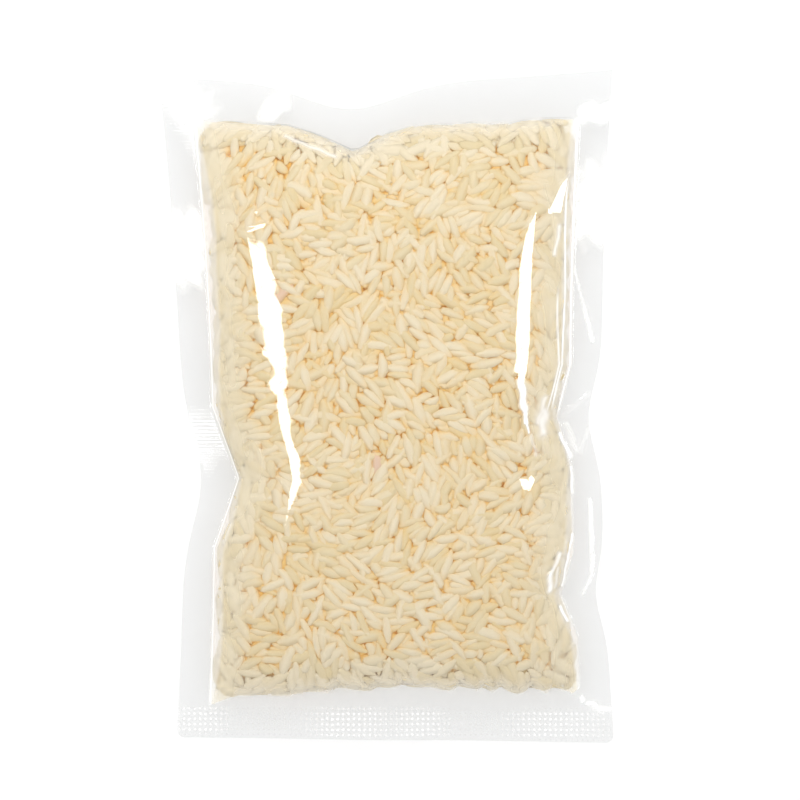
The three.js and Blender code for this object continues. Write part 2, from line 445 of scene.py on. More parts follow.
# How far the film, the core and the rice's outline push each ball.
def heldIn(points, radius, chart, layers):
    top, topX, topY, bottom, lowX, lowY, room = chart.read(layers, points[:, 0], points[:, 1])
    one = np.ones_like(top)
    tilt = 1 / np.sqrt(1 + topX ** 2 + topY ** 2)
    under = (top - points[:, 2]) * tilt
    split = np.maximum(packing["upperFrom"] * (top - bottom), packing["upperLeast"])
    isUpper = points[:, 2] - bottom > split
    hug, step = packing["hug"], packing["step"]
    over = np.clip(radius * hug - under, 0, step)
    over -= np.where(isUpper, np.clip(under - (grain["shell"] - radius), 0, step), 0)
    over -= np.where(isUpper & (under > radius), packing["rise"], 0)
    moved = np.stack([topX, topY, -one], 1) * (over * tilt)[:, None]
    tilt = 1 / np.sqrt(1 + lowX ** 2 + lowY ** 2)
    over = np.clip(radius * hug - (points[:, 2] - bottom) * tilt, 0, step)
    moved += np.stack([-lowX, -lowY, one], 1) * (over * tilt)[:, None]
    inwards = -unit(points[:, :2])
    moved[:, :2] += inwards * (0.5 * np.clip(-room, 0, 1))[:, None]
    return moved


# A depth under the film, squeezed shallow and eased so that it stays above zero.
def pressed(depth):
    shallow = depth - grain["squeeze"] * np.clip(depth, 0, grain["squeezeTo"])
    return (shallow + np.sqrt(shallow ** 2 + grain["pressed"] ** 2)) / 2


# The sheets press grains flat where they touch them. Returns each point's depth too.
def pressedFlat(place, chart, layers):
    depths = []
    for sheet, way in ((3, -1), (0, 1)):
        height, slopeX, slopeY = chart.read(layers[sheet:sheet + 3], place[:, 0], place[:, 1])
        slopeX, slopeY = np.clip(slopeX, -steepest, steepest), np.clip(slopeY, -steepest, steepest)
        outwards = unit(np.stack([-slopeX, -slopeY, np.ones_like(height)], 1) * way)
        depth = way * (height - place[:, 2]) * np.abs(outwards[:, 2])
        place = place + outwards * (depth - pressed(depth))[:, None]
        depths.append(pressed(depth))
    return place, np.minimum(*depths)


# All the grains as one mesh: one ball in a row of copies, whose points are then moved.
def arrayMesh(name, count):
    bm = bmesh.new()
    bmesh.ops.create_uvsphere(bm, u_segments=grain["segments"], v_segments=grain["rings"], radius=1)
    ball = meshFrom(bm, "grain_ball")
    points = np.zeros(len(ball.vertices) * 3)
    ball.vertices.foreach_get("co", points)
    holder = newObject("grain_row", ball)
    row = holder.modifiers.new("row", "ARRAY")
    row.count = count
    mesh = bpy.data.meshes.new_from_object(holder.evaluated_get(bpy.context.evaluated_depsgraph_get()))
    mesh.name = name
    bpy.data.objects.remove(holder)
    bpy.data.meshes.remove(ball)
    return mesh, points.reshape(-1, 3)


# The mesh of all the grains: one ball copied, drawn out, bent and turned for each.
# Beside the rims the light comes in from the side too, so creases count as shallow there and get less
# painted crease shade and glow.
def grainMesh(draw, ends, length, chart, layers):
    mesh, ball = arrayMesh("rice_grains", len(length))
    across, thick, along = ball.T
    count, points = len(length), len(along)
    middle = (ends[0] + ends[1]) / 2
    toward = unit(ends[1] - ends[0])
    top, slopeX, slopeY, bottom = chart.read(layers[:4], middle[:, 0], middle[:, 1])
    isUpper = (middle[:, 2] - bottom > 0.4 * (top - bottom))[:, None]
    outwards = np.where(isUpper, np.stack([-slopeX, -slopeY, np.ones(count)], 1), (0, 0, 1))
    outwards += draw.normal(0, grain["tilt"], (count, 3))
    side = unit(np.cross(outwards, toward))
    up = np.cross(toward, side)
    # one end may be pointed and the other blunt
    ending = draw.uniform(grain["pointed"], grain["blunt"], (2, count, 1))
    ending = 1 + np.where(along > 0, ending[0], ending[1]) * (np.abs(along) > grain["tip"])
    spread = 1 + grain["sizeSpread"] * draw.uniform(-1, 1, (2, count, 1))
    lumps = ending * (1 + grain["lumps"] * draw.normal(0, 1, (count, points)))
    bend = grain["bend"] * draw.normal(0, 1, (2, count, 1)) * (along ** 2 - 0.3)
    a = across * lumps * spread[0] * grain["width"] / 2 + bend[0]
    b = thick * lumps * spread[1] * grain["thickness"] / 2 + 0.6 * bend[1]
    t = along * length[:, None] / 2
    place = (middle[:, None] + a[..., None] * side[:, None] + b[..., None] * up[:, None]
             + t[..., None] * toward[:, None]).reshape(-1, 3)
    place, depth = pressedFlat(place, chart, layers)
    mesh.vertices.foreach_set("co", (place * mm).ravel())
    mesh.update()
    within = nearest(insideBy(place[:, 0], place[:, 1]))
    fade = smoothStep(grain["shallowTo"], grain["shallowFrom"], within)
    setAttributes(
        mesh, tone=np.repeat(draw.uniform(0, 1, count), points),
        depth=depth * mix(grain["shallow"], 1, fade), blush=np.repeat(blushed(middle), points))
    return mesh


# A few grains that lie on top are stained pinkish brown: the one nearest each place.
blushes = [(-26.5, 28.0), (-3.2, -15.6)]


def blushed(middle):
    stained = np.zeros(len(middle))
    for x, y in blushes:
        away = np.hypot(middle[:, 0] - x, middle[:, 1] - y) - 2 * middle[:, 2]
        stained[np.argmin(away)] = 1
    return stained


# Looks of the rice: colours, sizes of its patterns, and the depths where the creases' painted warm shade
# and painted glow begin and end.
# The crease colour is the painted shade deep between grains, and glow the strength of the painted glow
# there.
riceLook = {
    "yellower": "#DAC89D", "whiter": "#E3D6B9", "stained": "#DCBFA8", "crease": "#E0B358",
    "paintedCreaseGlow": "#F4C462", "glow": 0.13, "paintedCreaseFrom": 0.38, "paintedCreaseTo": 1.52,
    "cloud": 3.5, "skin": 0.7, "skinHigh": 0.1,
}


def riceMaterial():
    # Konjac rice: moist cream grains, some whiter and some yellower, chalky in their body. Deep in the
    # creases they get a painted warm shade and a painted glow, which stand for light that has soaked
    # through them.
    material, tree = newMaterial("konjac_rice")
    place = addNode(tree, "TexCoord").outputs["Object"]
    tone, blush, depth = (
        addNode(tree, "Attribute", {"attribute_name": name}).outputs["Fac"]
        for name in ("tone", "blush", "depth"))
    cloud = addNode(tree, "TexNoise", None, {
        "Vector": place, "Scale": 1 / (riceLook["cloud"] * mm), "Detail": 4, "Roughness": 0.65})
    blend = addNode(tree, "Math", {"operation": "MULTIPLY_ADD"}, {
        0: cloud.outputs[0], 1: 0.6, 2: tone})
    ramp = addNode(tree, "ValToRGB", None, {"Fac": blend.outputs[0]})
    stops = ramp.color_ramp.elements
    stops[0].position, stops[0].color = 0.25, hexColour(riceLook["yellower"])
    stops[1].position, stops[1].color = 1.0, hexColour(riceLook["whiter"])
    stained = addNode(tree, "Mix", {"data_type": "RGBA"}, {
        0: blush, 6: ramp.outputs["Color"], 7: hexColour(riceLook["stained"])})
    # painted warm shade and painted glow in the creases, growing with the depth under the film
    paintedCreaseMask = addNode(tree, "MapRange", {"interpolation_type": "SMOOTHSTEP"}, {
        "Value": depth, "From Min": riceLook["paintedCreaseFrom"], "From Max": riceLook["paintedCreaseTo"]})
    colour = addNode(tree, "Mix", {"data_type": "RGBA"}, {
        0: paintedCreaseMask.outputs[0], 6: stained.outputs[2], 7: hexColour(riceLook["crease"])})
    paintedCreaseGlow = addNode(tree, "Math", {"operation": "MULTIPLY"}, {
        0: paintedCreaseMask.outputs[0], 1: riceLook["glow"]})
    skin = addNode(tree, "TexNoise", None, {
        "Vector": place, "Scale": 1 / (riceLook["skin"] * mm), "Detail": 2})
    bump = addNode(tree, "Bump", None, {
        "Height": skin.outputs[0], "Strength": 0.3, "Distance": riceLook["skinHigh"] * mm})
    shader = addNode(tree, "BsdfPrincipled", None, {
        "Base Color": colour.outputs[2], "Normal": bump.outputs["Normal"], "Roughness": 0.6,
        "Specular IOR Level": 0.3, "Emission Color": hexColour(riceLook["paintedCreaseGlow"]),
        "Emission Strength": paintedCreaseGlow.outputs[0]})
    addNode(tree, "OutputMaterial", None, {"Surface": shader.outputs[0]})
    return material


# A sheet's mesh: a flat grid whose points are then moved to their places.
def sheetMesh(name, x, y, z):
    wide, high = x.shape
    bm = bmesh.new()
    bmesh.ops.create_grid(bm, x_segments=wide - 1, y_segments=high - 1, size=1)
    mesh = meshFrom(bm, name)
    flat = np.zeros(len(mesh.vertices) * 3)
    mesh.vertices.foreach_get("co", flat)
    flat = flat.reshape(-1, 3)
    i = np.round((flat[:, 0] + 1) / 2 * (wide - 1)).astype(int)
    j = np.round((flat[:, 1] + 1) / 2 * (high - 1)).astype(int)
    place = np.stack([x[i, j], y[i, j], z[i, j]], 1)
    mesh.vertices.foreach_set("co", (place * mm).ravel())
    mesh.update()
    return mesh, place


# The core under the grains that show: a closed heap, a little smaller than theirs.
# Its depth gives it the rice's full painted crease shade and painted glow.
core = {
    "across": 0.92, "along": 0.95, "under": 2.9, "over": 2.0, "wide": 60, "high": 90,
    "tone": 0.3, "depth": 2.0,
}


def coreMesh():
    shares = np.linspace(-1, 1, core["wide"] + 1), np.linspace(-1, 1, core["high"] + 1)
    u, v = np.meshgrid(*shares, indexing="ij")
    x, y = pointAt(u * core["across"], v * core["along"])
    low = lowerHeight(x, y) + core["over"]
    high = np.maximum(upperHeight(x, y) - core["under"], low)
    high = np.where(np.maximum(np.abs(u), np.abs(v)) > 0.999, low, high)
    bm = bmesh.new()
    for z in (high, low):
        mesh, _ = sheetMesh("core_half", x, y, z)
        bm.from_mesh(mesh)
        bpy.data.meshes.remove(mesh)
        if z is high:
            upFaces = len(bm.faces)
    bm.faces.ensure_lookup_table()
    bmesh.ops.reverse_faces(bm, faces=bm.faces[upFaces:])
    bmesh.ops.remove_doubles(bm, verts=bm.verts, dist=0.01 * mm)
    mesh = meshFrom(bm, "rice_core")
    setAttributes(mesh, tone=core["tone"], depth=core["depth"], blush=0)
    return mesh


# Film. Each sheet is relaxed like a stretched skin over the grains. On the crown
# the vacuum has ironed it nearly smooth, and it follows the grains more at the rim.
# Over the clear gap beside each long rim the film gets painted light, which lifts its shadow, and the
# flanks' cream haze is partly a painted reflection.
film = {
    "pitch": 0.4, "passes": 160, "pull": 0.0005, "clear": 0.06, "weldGap": 0.08, "table": 0.02,
    "slack": 2.0, "riceTo": -0.5, "weldFrom": -0.3, "slices": 11, "lastSlice": 0.92,
    "followCrown": 0.12, "followRim": 1.0, "followFrom": 10.0, "followTo": 4.5,
    "cornerRound": 2.2, "weldHaze": 0.03, "weldShade": 0.16, "gapPaintedLight": 0.35,
    "flankHazeAndSheen": 0.42, "flankFrom": 12.5, "flankTo": 4.0, "endHaze": 0.4, "endFrom": 5.0, "endTo": 1.0,
    "endCream": 0.6,
}
# The net that the sheets are drawn on: how far inside the rice's rim each stretch
# ends, and the spacing of its lines. It is finest where the creases lie.
netAcross = {
    "half": 52.0, "seal": 8.3, "stretches": [(-1.5, 0.5), (3.8, 0.25), (19, 0.45), (52, 1.1)],
}
netAlong = {"half": 78.0, "seal": 11.6, "stretches": [(-1.0, 0.6), (1.0, 0.33), (78, 0.46)]}


# Rows of values as dictionaries with the same names.
def asTable(names, rows):
    return [dict(zip(names, row)) for row in rows]


# A crease runs down the rim on each side, with more beside it in the right flank, each with a painted
# white highlight. It lies so far inside the rim, between a low and a top place along the bag.
rimCreases = asTable(("side", "inside", "wide", "high", "paintedHighlight", "waver", "low", "top"), [
    ("left", 0.0, 0.3, 0.3, 0.9, 0.0, -90, 90),
    ("right", 0.0, 0.38, 0.3, 0.3, 0.0, -90, 90),
    ("right", 0.1, 0.32, 0.1, 1.4, 0.0, -6, 90),
    ("right", 2.1, 0.28, 0.2, 1.2, 0.25, -4, 62),
    ("right", 3.4, 0.3, 0.2, 0.9, 0.4, -6, 34),
])
# Folds and dents elsewhere run straight from one place to another, each with a painted white highlight. A
# crease that isn't high is only that painted highlight.
creases = asTable(("start", "end", "wide", "high", "paintedHighlight"), [
    # painted highlights along the right seal, and on the facets of its pucker
    ((53.9, -24.5), (54.5, -44.0), 0.3, 0.2, 0.8),
    ((54.5, -44.0), (52.2, -49.5), 0.3, 0.2, 0.7),
    ((49.6, 37.0), (52.4, 26.0), 0.28, 0.06, 0.5),
    ((52.4, 26.0), (54.6, 17.0), 0.36, 0.08, 0.7),
    ((47.6, -4.7), (50.5, -11.6), 0.9, 0.25, 0.28),
    ((51.3, -12.1), (53.4, -6.3), 0.8, 0.2, 0.2),
    ((46.8, -2.4), (53.9, 2.9), 1.0, 0.2, 0.12),
    ((-26.5, 70.9), (-13.3, 65.4), 0.6, 0.25, 0.5),
    # painted highlights on folds in the right flank, and the painted tail of its streak
    ((41.2, -6.6), (41.6, -1.0), 1.5, 0.2, 0.7),
    ((40.0, -4.6), (41.9, 2.0), 0.8, 0.1, 0.6),
    ((35.5, 6.5), (36.3, -0.5), 0.75, 0.0, 2.0),
    ((36.3, -0.5), (36.9, -4.2), 0.5, 0.0, 2.0),
    ((36.9, -4.2), (37.5, -7.0), 0.28, 0.0, 1.6),
    ((38.2, -8.0), (39.4, -13.0), 0.7, 0.0, 0.35),
    ((45.8, 47.4), (44.4, 39.6), 0.5, 0.1, 0.7),
    ((43.0, -48.5), (43.4, -44.5), 0.8, 0.3, 0.9),
    ((43.4, -44.5), (45.8, -38.6), 0.6, 0.3, 0.8),
    ((44.6, -47.5), (45.4, -42.5), 0.5, 0.2, 0.6),
    # painted highlights where the right rim shines
    ((45.8, -7.1), (48.7, -13.3), 0.42, 0.1, 1.3),
    ((48.9, -16.1), (49.2, -22.9), 0.42, 0.1, 1.2),
    ((49.2, -33.8), (46.6, -47.2), 0.42, 0.1, 1.1),
    ((46.0, -52.6), (47.8, -56.4), 0.42, 0.1, 1.3),
    # painted highlights on the welds
    ((-52.0, 46.0), (-52.0, 37.0), 4.2, 0.0, 1.1),
    ((-58.0, 84.0), (-50.0, 78.0), 4.5, 0.0, 0.5),
    ((-31.0, 77.0), (-27.5, 80.5), 1.8, 0.0, 1.2),
    ((53.0, 77.3), (61.0, 77.3), 1.8, 0.0, 1.4),
    ((56.0, 57.5), (55.0, 49.5), 5.0, 0.0, 1.2),
    ((51.7, -76.9), (52.1, -77.4), 0.45, 0.0, 1.2),
    ((53.4, -78.4), (55.6, -78.9), 0.4, 0.05, 1.0),
    ((56.4, -79.6), (59.6, -79.9), 0.5, 0.05, 1.1),
    ((54.8, -79.9), (57.4, -80.6), 0.35, 0.0, 0.3),
    # dents above the left streak, with faint painted sparkles
    ((-37.2, 47.0), (-31.5, 47.8), 0.7, 0.1, 0.1),
    ((-34.4, 53.0), (-33.8, 51.2), 0.5, 0.1, 0.2),
    ((-29.6, 55.4), (-29.0, 54.8), 0.6, 0.1, 0.2),
    ((-27.6, 50.8), (-27.2, 49.9), 0.5, 0.1, 0.2),
])
# Panes: flat spots, where the film stands off the rice between its folds.
panes = [
    {"slope": (-0.29, 0.02), "soft": 0.15, "parts": [
        [(48.5, 61.8), (45.4, 58.2), (42.8, 52.2), (42.5, 50.0), (46.3, 50.0), (47.8, 57.0)]]},
    {"slope": (-0.29, -0.045), "soft": 0.15, "parts": [
        [(34.0, -18.7), (35.3, -22.3), (37.0, -23.5), (37.0, -20.0), (35.6, -18.4)],
        [(36.8, -20.0), (36.8, -23.5), (38.2, -22.8), (39.5, -20.3), (39.5, -18.7), (38.2, -18.4)]]},
]
# Embossed dots in the bottom seal: a nearly regular net, each dot with a painted white glint, plain to
# see only in some spots, each given by its place along the seal and its reach.
dots = {
    "pitch": 1.4, "jitter": 0.12, "core": 0.08, "rim": 0.3, "high": 0.03, "paintedHighlight": 1.0,
    "from": 1.0, "fromFade": 0.5, "to": 9.0, "toFade": 2, "least": 0.08,
    "spots": [(-49.0, 6.0), (-9.0, 9.0), (9.0, 6.0), (45.0, 10.0)],
}
# Fine ribs across the side seals, which only the film's shine shows.
ribs = {"pitch": 0.93, "high": 0.05, "from": -0.8, "to": -1.4}
# Creases waver a little, like all crumpled film, and fade out at their ends.
crumple = {"off": 0.25, "fade": 8}
# The fine grey line in which the top weld starts, plainest in one stretch.
topLine = {"at": -0.2, "wide": 0.3, "least": 0.3, "most": 0.35, "middle": -12, "long": 14, "waver": 0.15}


# Where the net's lines lie: 1 and -1 are the rice's rims, 2 and -2 the film's edges.
def netLines(net):
    places, start = [], -net["seal"]
    for end, pitch in net["stretches"]:
        places.append(np.linspace(start, end, int(round((end - start) / pitch)) + 1)[:-1])
        start = end
    inside = np.concatenate(places)
    lines = np.where(inside < 0, inside / net["seal"], inside / net["half"]) - 1
    return np.concatenate([lines, [0], -lines[::-1]])


def filmNet():
    s, t = np.meshgrid(netLines(netAcross), netLines(netAlong), indexing="ij")
    outX, outY = np.maximum(np.abs(s) - 1, 0), np.maximum(np.abs(t) - 1, 0)
    riceX, riceY = pointAt(np.clip(s, -1, 1), np.clip(t, -1, 1))
    x, y = riceX, riceY
    for _ in range(rounds):
        sideEdge = np.where(s < 0, edgeAt("left", y, False), edgeAt("right", y, False))
        endEdge = np.where(t < 0, edgeAt("bottom", x, False), edgeAt("top", x, False))
        x, y = mix(riceX, sideEdge, outX), mix(riceY, endEdge, outY)
    for cornerX, cornerY in (bottomLeft, bottomRight):
        r = film["cornerRound"]
        way = math.copysign(1, cornerX)
        middleX, middleY = cornerX - way * r, cornerY + r
        across, down = np.maximum((x - middleX) * way, 0), np.maximum(middleY - y, 0)
        pull = np.maximum(across, down) / np.maximum(np.hypot(across, down), 1e-6)
        isCorner = (across > 0) & (down > 0)
        x = np.where(isCorner, middleX + way * across * pull, x)
        y = np.where(isCorner, middleY - down * pull, y)
    return x, y


# The height of the topmost (or lowest) grain at each point of a chart, from
# slices across every grain.
def reliefOf(chart, ends, length, sign):
    relief = np.full(chart.shape, -farOff)
    middle = (ends[0] + ends[1]) / 2
    toward = unit(ends[1] - ends[0])
    reach = int(math.ceil(grain["width"] / 2 / chart.pitch))
    for share in np.linspace(-film["lastSlice"], film["lastSlice"], film["slices"]):
        size = math.sqrt(1 - share ** 2) * (1 + 0.1 * share ** 2)
        point = middle + toward * (share * length / 2)[:, None]
        i = np.round((point[:, 0] - chart.low[0]) / chart.pitch).astype(int)
        j = np.round((point[:, 1] - chart.low[1]) / chart.pitch).astype(int)
        for di in range(-reach, reach + 1):
            for dj in range(-reach, reach + 1):
                ci = np.clip(i + di, 0, chart.shape[0] - 1)
                cj = np.clip(j + dj, 0, chart.shape[1] - 1)
                away = np.hypot(chart.x[ci, cj] - point[:, 0], chart.y[ci, cj] - point[:, 1])
                part = 1 - (away / (size * grain["width"] / 2)) ** 2
                height = sign * point[:, 2] + size * grain["thickness"] / 2 * np.sqrt(np.maximum(part, 0))
                np.maximum.at(relief, (ci, cj), np.where(part > 0, height, -farOff))
    return sign * relief


def drape(rest, obstacle, isFixed, sign):
    sheet = np.where(isFixed, rest, sign * np.maximum(sign * rest, sign * obstacle))
    for _ in range(film["passes"]):
        mean = sheet.copy()
        mean[1:-1, 1:-1] = (sheet[2:, 1:-1] + sheet[:-2, 1:-1] + sheet[1:-1, 2:] + sheet[1:-1, :-2]) / 4
        mean -= sign * film["pull"]
        sheet = np.where(isFixed, rest, sign * np.maximum(sign * obstacle, sign * mean))
    return sheet


# One sheet's heights over a chart: upper for a sign of 1, lower for -1.
def sheetHeights(chart, ends, length, sign):
    envelope = (upperHeight if sign > 0 else lowerHeight)(chart.x, chart.y)
    within = nearest(insideBy(chart.x, chart.y))
    relief = reliefOf(chart, ends, length, sign)
    slopeX, slopeY = np.gradient(envelope, chart.pitch)
    slopeX, slopeY = np.clip(slopeX, -steepest, steepest), np.clip(slopeY, -steepest, steepest)
    tilt = 1 / np.sqrt(1 + slopeX ** 2 + slopeY ** 2)
    relief = envelope - sign * pressed(sign * (envelope - relief) * tilt) / tilt
    relief = np.where(within > film["riceTo"], relief, -sign * farOff) + sign * film["clear"]
    isWeld = within < film["weldFrom"]
    rest = np.where(isWeld, borderHeight(chart.x, chart.y), envelope - sign * film["slack"])
    skin = drape(rest, relief, isWeld, sign)
    ironed = smoothStep(film["followTo"], film["followFrom"], within)
    follow = mix(film["followRim"], film["followCrown"], ironed)
    return mix(np.where(isWeld, skin, envelope + sign * film["clear"]), skin, follow)


# What creases and dents add to a sheet's height, and the painted white highlight they put on it.
def creased(x, y, inside):
    within = np.minimum(inside["bottom"], inside["top"])
    height, paintedHighlight, fade = 0, 0, crumple["fade"]
    for crease in rimCreases:
        waver = crease["waver"] * np.sin(y / 6.5 + 3 * crease["inside"])
        away = (inside[crease["side"]] - crease["inside"] - waver) / crease["wide"]
        low, top = crease["low"], crease["top"]
        reach = smoothStep(low, low + fade, y) * smoothStep(top, top - fade, y)
        part = np.exp(-(away ** 2)) * reach * smoothStep(-1, 1, within)
        height = height + crease["high"] * part
        paintedHighlight = np.maximum(paintedHighlight, crease["paintedHighlight"] * part)
    offX = crumple["off"] * np.sin(y / 0.9 + 1.3 * np.sin(x / 1.3))
    offY = crumple["off"] * np.sin(x / 0.8 + 1.3 * np.sin(y / 1.7))
    for crease in creases:
        part = nearness(crease, x + offX * crease["wide"], y + offY * crease["wide"])
        height = height + crease["high"] * part
        paintedHighlight = np.maximum(paintedHighlight, crease["paintedHighlight"] * part)
    return height, np.minimum(paintedHighlight, 1)


# Lays the panes into a sheet: each just touches it at its highest place.
def paned(x, y, z):
    for pane in panes:
        within = np.full(x.shape, -farOff)
        for part in pane["parts"]:
            corners = np.array(part)
            reach = np.full(x.shape, farOff)
            for start, end in zip(corners, np.roll(corners, -1, 0)):
                alongX, alongY = (end - start) / np.linalg.norm(end - start)
                reach = np.minimum(reach, alongX * (y - start[1]) - alongY * (x - start[0]))
            within = np.maximum(within, reach)
        flat = pane["slope"][0] * x + pane["slope"][1] * y
        flat = flat + np.max((z - flat)[within > 0])
        z = mix(z, flat, smoothStep(-pane["soft"], pane["soft"], within))
    return z


# How plain the embossed dots are at each place.
def dottedAt(x, y):
    up = y - edgeAt("bottom", x, False)
    reach = smoothStep(dots["from"] - dots["fromFade"], dots["from"] + dots["fromFade"], up)
    reach = reach * smoothStep(dots["to"], dots["to"] - dots["toFade"], up)
    strength = np.full(np.shape(x), dots["least"])
    for middle, wide in dots["spots"]:
        strength = np.maximum(strength, np.exp(-(((x - middle) / wide) ** 2)))
    return reach * strength


# Looks of the film: its tints, how it mirrors face on, how fast that grows as it slants, and how strong
# the painted glow is that makes its painted highlights brighter than plain white.
filmLook = {
    "clear": "#FEFEFE", "welded": "#D8DADA", "hazeAndHighlightWhite": "#FDFDFB", "starch": "#FAF0D3",
    "roughness": 0.04, "shine": 0.06, "steepness": 5, "glow": 0.12,
}


def filmMaterial():
    # Clear laminate film: it lets nearly all light through and mirrors the lamps as sharp white streaks.
    # Where it is welded it looks a trace greyer. Its creases, rims, dots and spots of its welds carry
    # painted white highlights that glow, the gaps beside the rims get painted light over their shadow,
    # and a cream haze clouds it on the flanks, partly a painted reflection.
    material, tree = newMaterial("clear_film")
    haze, starch, shade, ribbed, dotted = (
        addNode(tree, "Attribute", {"attribute_name": name}).outputs["Fac"]
        for name in ("haze", "starch", "shade", "ribbed", "dotted"))
    place = addNode(tree, "TexCoord").outputs["Object"]
    net = addNode(tree, "TexVoronoi", {"voronoi_dimensions": "2D"}, {
        "Vector": place, "Scale": 1 / (dots["pitch"] * mm), "Randomness": dots["jitter"]})
    dot = addNode(tree, "MapRange", {"interpolation_type": "SMOOTHSTEP"}, {
        "Value": net.outputs["Distance"], "From Min": dots["core"], "From Max": dots["rim"],
        "To Min": 1, "To Max": 0})
    embossed = addNode(tree, "Math", {"operation": "MULTIPLY"}, {0: dot.outputs[0], 1: dotted})
    # the dots' painted white glints, added to the haze and painted light
    hazeAndPaintedLightShare = addNode(tree, "Math", {"operation": "MULTIPLY_ADD", "use_clamp": True}, {
        0: embossed.outputs[0], 1: dots["paintedHighlight"], 2: haze})
    bands = addNode(tree, "TexWave", {"bands_direction": "Y"}, {
        "Vector": place, "Scale": math.pi / 10 / (ribs["pitch"] * mm)})
    bump = addNode(tree, "Bump", None, {
        "Height": bands.outputs["Fac"], "Strength": ribbed, "Distance": ribs["high"] * mm})
    bump = addNode(tree, "Bump", None, {
        "Height": embossed.outputs[0], "Distance": dots["high"] * mm, "Normal": bump.outputs["Normal"]})
    tint = addNode(tree, "Mix", {"data_type": "RGBA"}, {
        0: shade, 6: hexColour(filmLook["clear"]), 7: hexColour(filmLook["welded"])})
    clear = addNode(tree, "BsdfTransparent", None, {"Color": tint.outputs[2]})
    gloss = addNode(tree, "BsdfGlossy", None, {
        "Color": (1, 1, 1, 1), "Roughness": filmLook["roughness"], "Normal": bump.outputs["Normal"]})
    cloud = addNode(tree, "Mix", {"data_type": "RGBA"}, {
        0: starch, 6: hexColour(filmLook["hazeAndHighlightWhite"]), 7: hexColour(filmLook["starch"])})
    hazeAndHighlightWhite = addNode(tree, "BsdfDiffuse", None, {"Color": cloud.outputs[2]})
    # a painted glow makes the white, mostly painted highlights and painted light, brighter than a plain
    # white
    paintedGlowStrength = addNode(tree, "Math", {"operation": "MULTIPLY_ADD"}, {
        0: starch, 1: -filmLook["glow"], 2: filmLook["glow"]})
    glow = addNode(tree, "Emission", None, {"Strength": paintedGlowStrength.outputs[0]})
    hazeAndHighlightWhite = addNode(tree, "AddShader", None, {0: hazeAndHighlightWhite.outputs[0], 1: glow.outputs[0]})
    # a film mirrors alike from both sides: little face on, and more at a slant
    slant = addNode(tree, "LayerWeight", None, {"Blend": 0.5})
    steep = addNode(tree, "Math", {"operation": "POWER"}, {
        0: slant.outputs["Facing"], 1: filmLook["steepness"]})
    glance = addNode(tree, "MapRange", None, {
        "Value": steep.outputs[0], "To Min": filmLook["shine"], "To Max": 1})
    body = addNode(tree, "MixShader", None, {
        0: hazeAndPaintedLightShare.outputs[0], 1: clear.outputs[0], 2: hazeAndHighlightWhite.outputs[0]})
    shader = addNode(tree, "MixShader", None, {
        0: glance.outputs[0], 1: body.outputs[0], 2: gloss.outputs[0]})
    addNode(tree, "OutputMaterial", None, {"Surface": shader.outputs[0]})
    return material


# How much of the upper sheet is clouded, as haze and as painted light, and how much of that is cream: the
# flanks and the ends over the rice are clouded, unevenly, the flanks' cream partly a painted reflection;
# the gaps beside the rims get painted light over their shadow, and creases painted white highlights.
def cloudAt(x, y, inside):
    within = np.minimum(inside["left"], inside["right"])
    ends = np.minimum(inside["bottom"], inside["top"])
    clear = clearOf(x, y, inside)
    onRice = smoothStep(-0.4, 0.8, np.minimum(clear["left"], clear["right"]))
    # the cloud's edge wanders, and its strength varies along the bag
    wander = 1.4 * np.sin(y / 5.1 + 1.5 * np.sin(x / 7.0)) + 0.8 * np.sin(y / 2.3 + x / 3.7)
    flank = film["flankHazeAndSheen"] * smoothStep(film["flankFrom"], film["flankTo"], within + wander)
    end = film["endHaze"] * smoothStep(film["endFrom"], film["endTo"], ends)
    uneven = 0.82 + 0.18 * np.sin(x / 0.9 + 2 * np.sin(y / 9)) * np.sin(y / 4.7 + np.sin(x / 6.1))
    # over the gaps beside the rims, painted light that lifts their shadow
    haze = mix(film["gapPaintedLight"], np.maximum(flank, end) * uneven, onRice)
    isWeld = np.minimum(within, ends) < 0
    haze = np.where(isWeld, film["weldHaze"], haze)
    paintedHighlight = creased(x, y, inside)[1]
    starch = np.where(isWeld, 0, smoothStep(0.4, -0.1, paintedHighlight)) * onRice
    starch = starch * np.where(end > flank, film["endCream"], 1)
    return np.maximum(haze, paintedHighlight), starch


# The welds look a little greyer than the clear film.
def shadeAt(x, y, inside):
    within = nearest(inside)
    line = np.exp(-(((inside["top"] - topLine["at"]) / topLine["wide"]) ** 2))
    line = line * smoothStep(0, 2, np.minimum(inside["left"], inside["right"]))
    plain = np.exp(-(((x - topLine["middle"]) / topLine["long"]) ** 2))
    waver = topLine["waver"] * np.sin(x / 1.7 + np.sin(x / 3))
    line = line * (topLine["least"] + topLine["most"] * plain + waver)
    return np.maximum(film["weldShade"] * smoothStep(0.2, -0.2, within), line)


def filmSheet(name, sign, ends, length, material):
    chart = Chart(film["pitch"])
    sheet = sheetHeights(chart, ends, length, sign)
    x, y = filmNet()
    z, = chart.read([sheet], x, y)
    inside = insideBy(x, y)
    within = nearest(inside)
    z = z + sign * film["weldGap"] / 2
    shared = 1 if sign > 0 else smoothStep(1, 0, within)
    z = z + creased(x, y, inside)[0] * shared
    if sign > 0:
        z = paned(x, y, z)
    z = np.maximum(z, film["table"])
    mesh, place = sheetMesh(name, x, y, z)
    if sign < 0:
        mesh.flip_normals()
    x, y = place[:, 0], place[:, 1]
    inside = insideBy(x, y)
    haze, starch = cloudAt(x, y, inside)
    ribbed = smoothStep(ribs["from"], ribs["to"], np.minimum(inside["left"], inside["right"]))
    setAttributes(
        mesh, haze=haze, starch=starch, shade=shadeAt(x, y, inside), dotted=dottedAt(x, y),
        ribbed=ribbed)
    newPiece(name, mesh, material)


